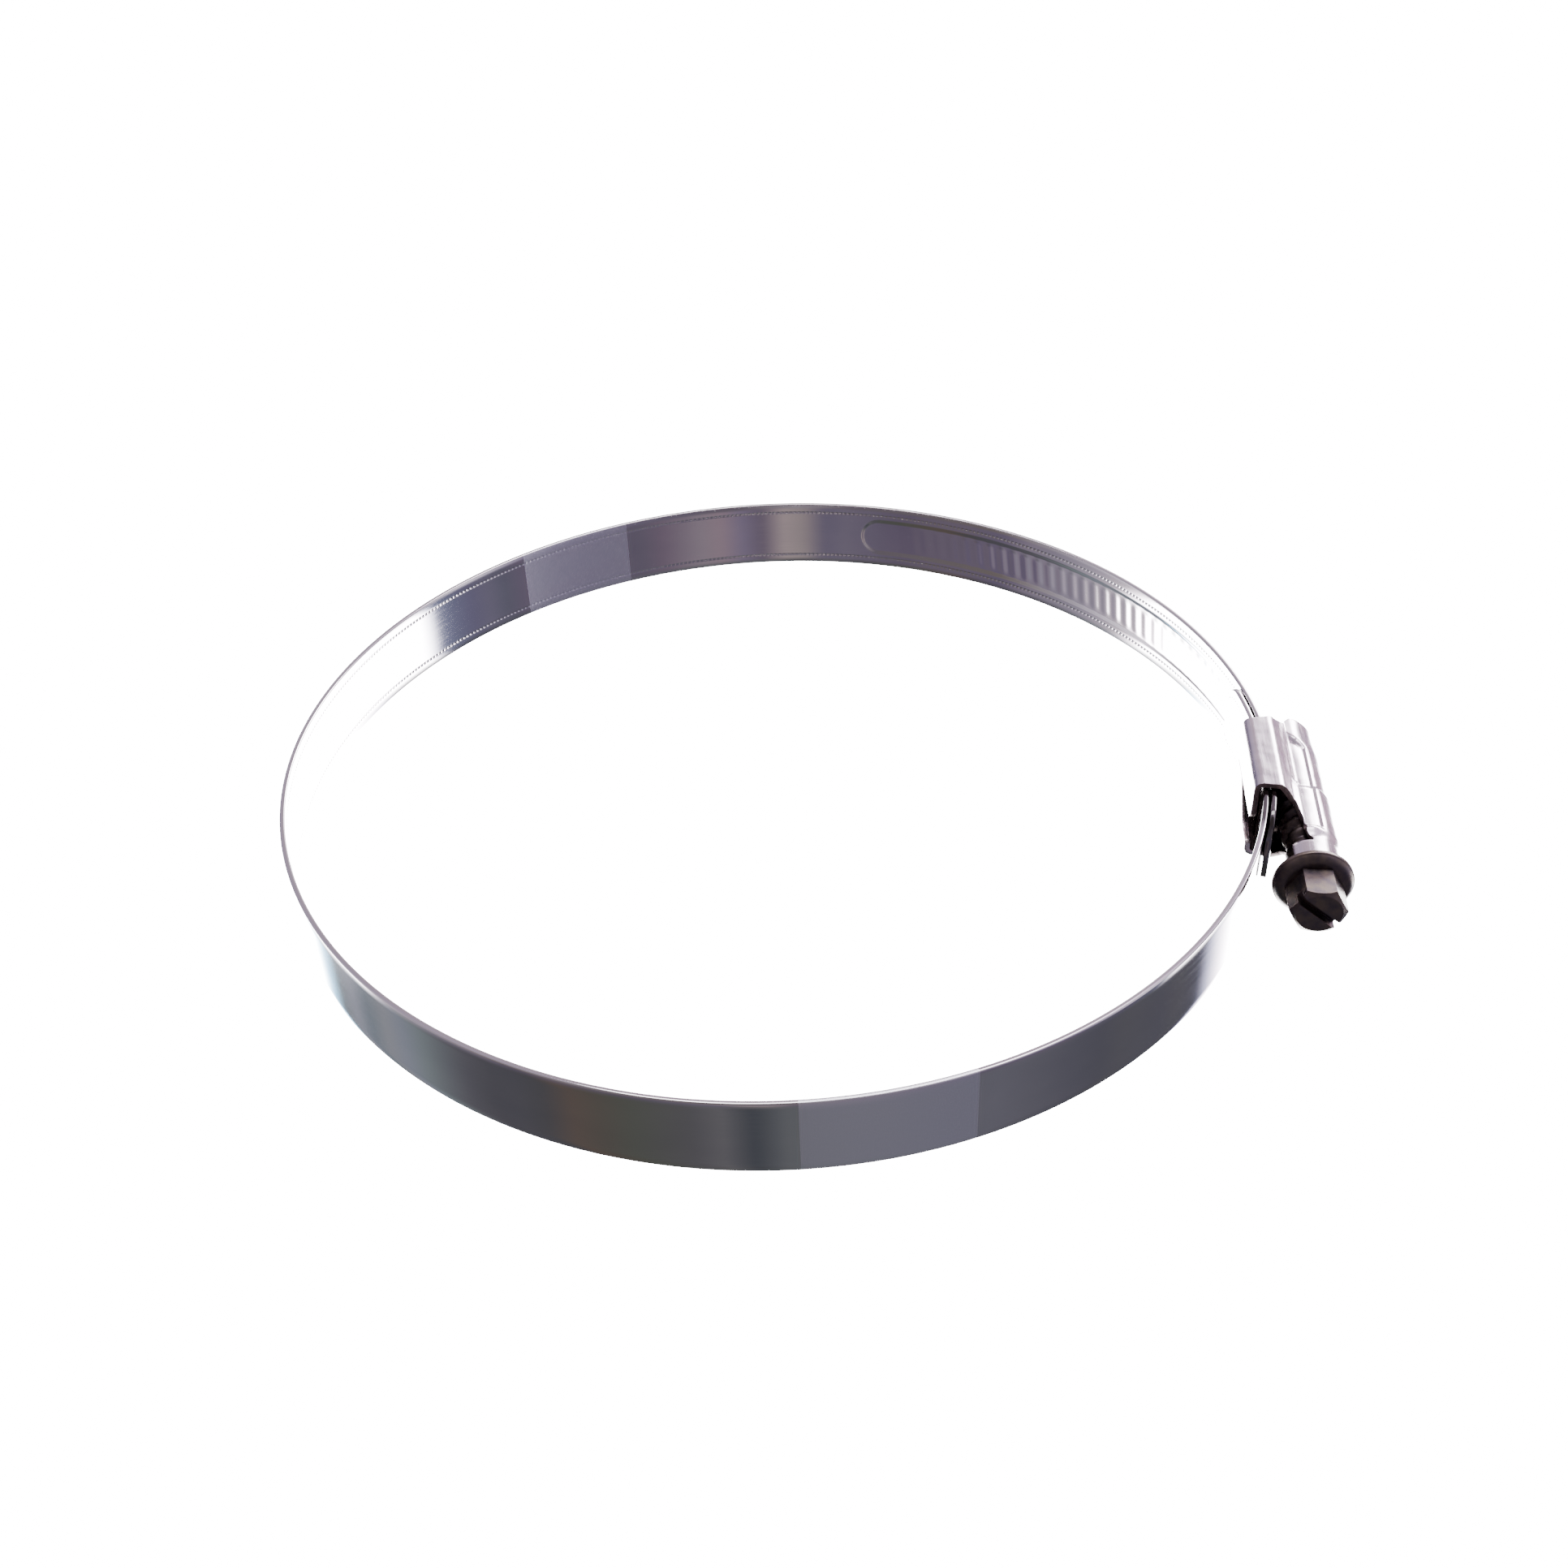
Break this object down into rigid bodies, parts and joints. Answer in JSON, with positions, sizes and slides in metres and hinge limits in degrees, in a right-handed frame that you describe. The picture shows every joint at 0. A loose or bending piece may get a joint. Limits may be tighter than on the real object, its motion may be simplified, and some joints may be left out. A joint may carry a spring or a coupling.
{
  "type": "worm-drive hose clamp",
  "caption": "Stainless worm-drive hose clamp: a strip ring with a pressed thread, a pressed housing and a slotted hex screw that draws the strip through it.",
  "frame": {"origin": "centre of the ring's bore, on the ring's axis at the middle of the band's width", "axes": "+Z along the ring's axis, +X towards the housing, -Y towards the screw's head"},
  "size_m": [0.156, 0.1465, 0.0142],
  "materials": {
    "band": "bright rolled stainless strip",
    "housing": "polished pressed stainless sheet",
    "screw": "plated cold-headed steel"
  },
  "bodies": {
    "housing": {"housing": "housing", "band_fixed_end": "band"},
    "screw": {"worm_screw": "screw"},
    "threaded_end": {"band_threaded_end": "band"},
    "arc_1": {"band_arc_1": "band"},
    "arc_2": {"band_arc_2": "band"},
    "arc_3": {"band_arc_3": "band"},
    "arc_4": {"band_arc_4": "band"},
    "arc_5": {"band_arc_5": "band"},
    "arc_6": {"band_arc_6": "band"},
    "arc_7": {"band_arc_7": "band"},
    "arc_8": {"band_arc_8": "band"}
  },
  "joints": [
    {"name": "band_tighten", "type": "hinge", "parent": "housing", "child": "threaded_end", "pos_m": [0, 0, 0], "axis": [0, 0, -1], "range_deg": [-5.77, 40.33]},
    {"name": "screw_turn", "type": "hinge", "parent": "housing", "child": "screw", "pos_m": [0.0776, 0, 0], "axis": [0, 1, 0], "range_deg": [-1082, 7562]},
    {"name": "flex_1", "type": "hinge", "parent": "threaded_end", "child": "arc_1", "pos_m": [0.03895, 0.06233, 0], "axis": [0, 0, 1], "range_deg": [-1.1, 7.67]},
    {"name": "flex_2", "type": "hinge", "parent": "arc_1", "child": "arc_2", "pos_m": [0, 0.07326, 0], "axis": [0, 0, 1], "range_deg": [-0.47, 3.23]},
    {"name": "flex_3", "type": "hinge", "parent": "arc_2", "child": "arc_3", "pos_m": [-0.04173, 0.05959, 0], "axis": [0, 0, 1], "range_deg": [-0.47, 3.23]},
    {"name": "flex_4", "type": "hinge", "parent": "arc_3", "child": "arc_4", "pos_m": [-0.06993, 0.01874, 0], "axis": [0, 0, 1], "range_deg": [-0.47, 3.23]},
    {"name": "flex_5", "type": "hinge", "parent": "arc_4", "child": "arc_5", "pos_m": [-0.06562, -0.0306, 0], "axis": [0, 0, 1], "range_deg": [-1.27, 8.88]},
    {"name": "flex_6", "type": "hinge", "parent": "arc_5", "child": "arc_6", "pos_m": [-0.02476, -0.06803, 0], "axis": [0, 0, 1], "range_deg": [-0.76, 5.25]},
    {"name": "flex_7", "type": "hinge", "parent": "arc_6", "child": "arc_7", "pos_m": [0.0306, -0.06562, 0], "axis": [0, 0, 1], "range_deg": [-0.47, 3.23]},
    {"name": "flex_8", "type": "hinge", "parent": "arc_7", "child": "arc_8", "pos_m": [0.06713, -0.02712, 0], "axis": [0, 0, 1], "range_deg": [-0.81, 5.65]}
  ],
  "couplings": [
    {"joint": "screw_turn", "follows": "band_tighten", "ratio": 187.49},
    {"joint": "flex_1", "follows": "band_tighten", "ratio": 0.19},
    {"joint": "flex_2", "follows": "band_tighten", "ratio": 0.08},
    {"joint": "flex_3", "follows": "band_tighten", "ratio": 0.08},
    {"joint": "flex_4", "follows": "band_tighten", "ratio": 0.08},
    {"joint": "flex_5", "follows": "band_tighten", "ratio": 0.22},
    {"joint": "flex_6", "follows": "band_tighten", "ratio": 0.13},
    {"joint": "flex_7", "follows": "band_tighten", "ratio": 0.08},
    {"joint": "flex_8", "follows": "band_tighten", "ratio": 0.14}
  ]
}
